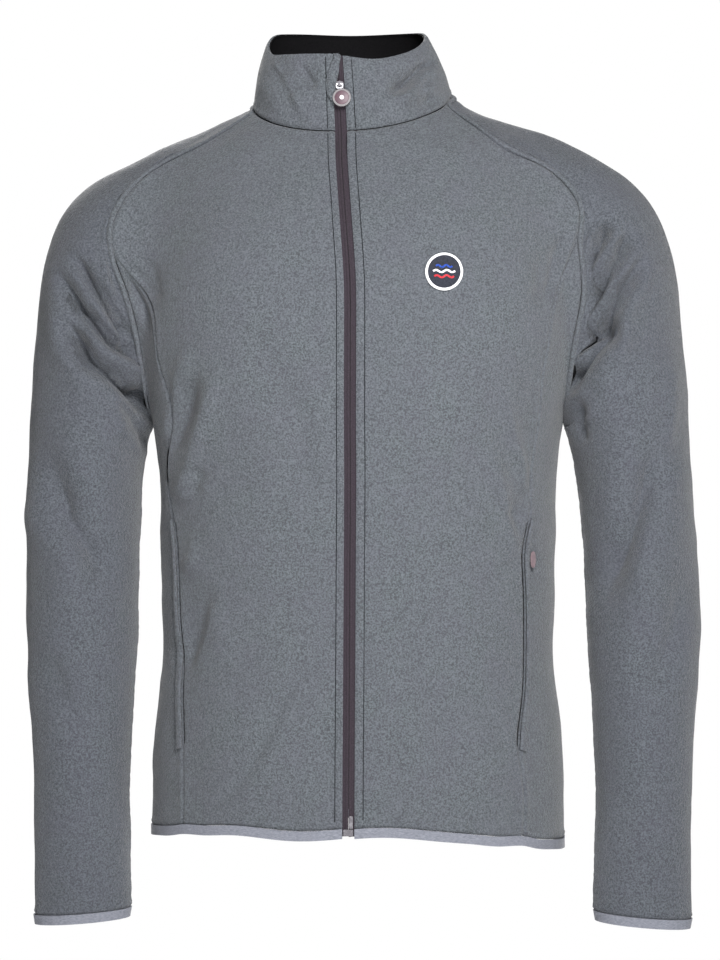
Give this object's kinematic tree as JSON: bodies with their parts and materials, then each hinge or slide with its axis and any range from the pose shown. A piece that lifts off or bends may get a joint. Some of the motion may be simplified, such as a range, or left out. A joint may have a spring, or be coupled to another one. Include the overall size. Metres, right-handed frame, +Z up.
{
  "type": "zip jacket",
  "caption": "Hollow stand-collar fleece jacket, filled out as worn, with raglan sleeves, a full front zip and a hinged zip pull.",
  "frame": {"origin": "middle of the neck's base, where the wearer's shoulders hold the jacket", "axes": "+Z up, -Y towards the front, +X towards the wearer's left"},
  "size_m": [0.6159, 0.2677, 0.8211],
  "materials": {
    "fleece": "short-nap fleece",
    "facing": "smooth knit",
    "binding": "elastic binding",
    "zip": "woven zip tape",
    "metal": "plated",
    "tab": "satin",
    "rim": "woven edge"
  },
  "bodies": {
    "jacket": {"back": "fleece", "collar": "fleece", "collar_facing": "facing", "hem_binding": "binding", "front_right": "fleece", "side_right": "fleece", "sleeve_right": "fleece", "cuff_binding_right": "binding", "zip_tape_right": "zip", "pocket_welt_right": "fleece", "front_left": "fleece", "side_left": "fleece", "sleeve_left": "fleece", "cuff_binding_left": "binding", "zip_tape_left": "zip", "pocket_welt_left": "fleece", "zip_slider": "metal", "zip_box": "tab", "zip_pin": "tab", "chin_guard": "fleece", "badge_face": "zip", "badge_rim": "rim", "pocket_pull_left": "tab"},
    "zip_pull": {"pull_link": "metal", "pull_tab": "tab"}
  },
  "joints": [
    {"name": "zip_pull_hinge", "type": "hinge", "parent": "jacket", "child": "zip_pull", "pos_m": [-0.01269, -0.07416, 0.01346], "axis": [-1, 0, 0], "range_deg": [0, 140]}
  ]
}
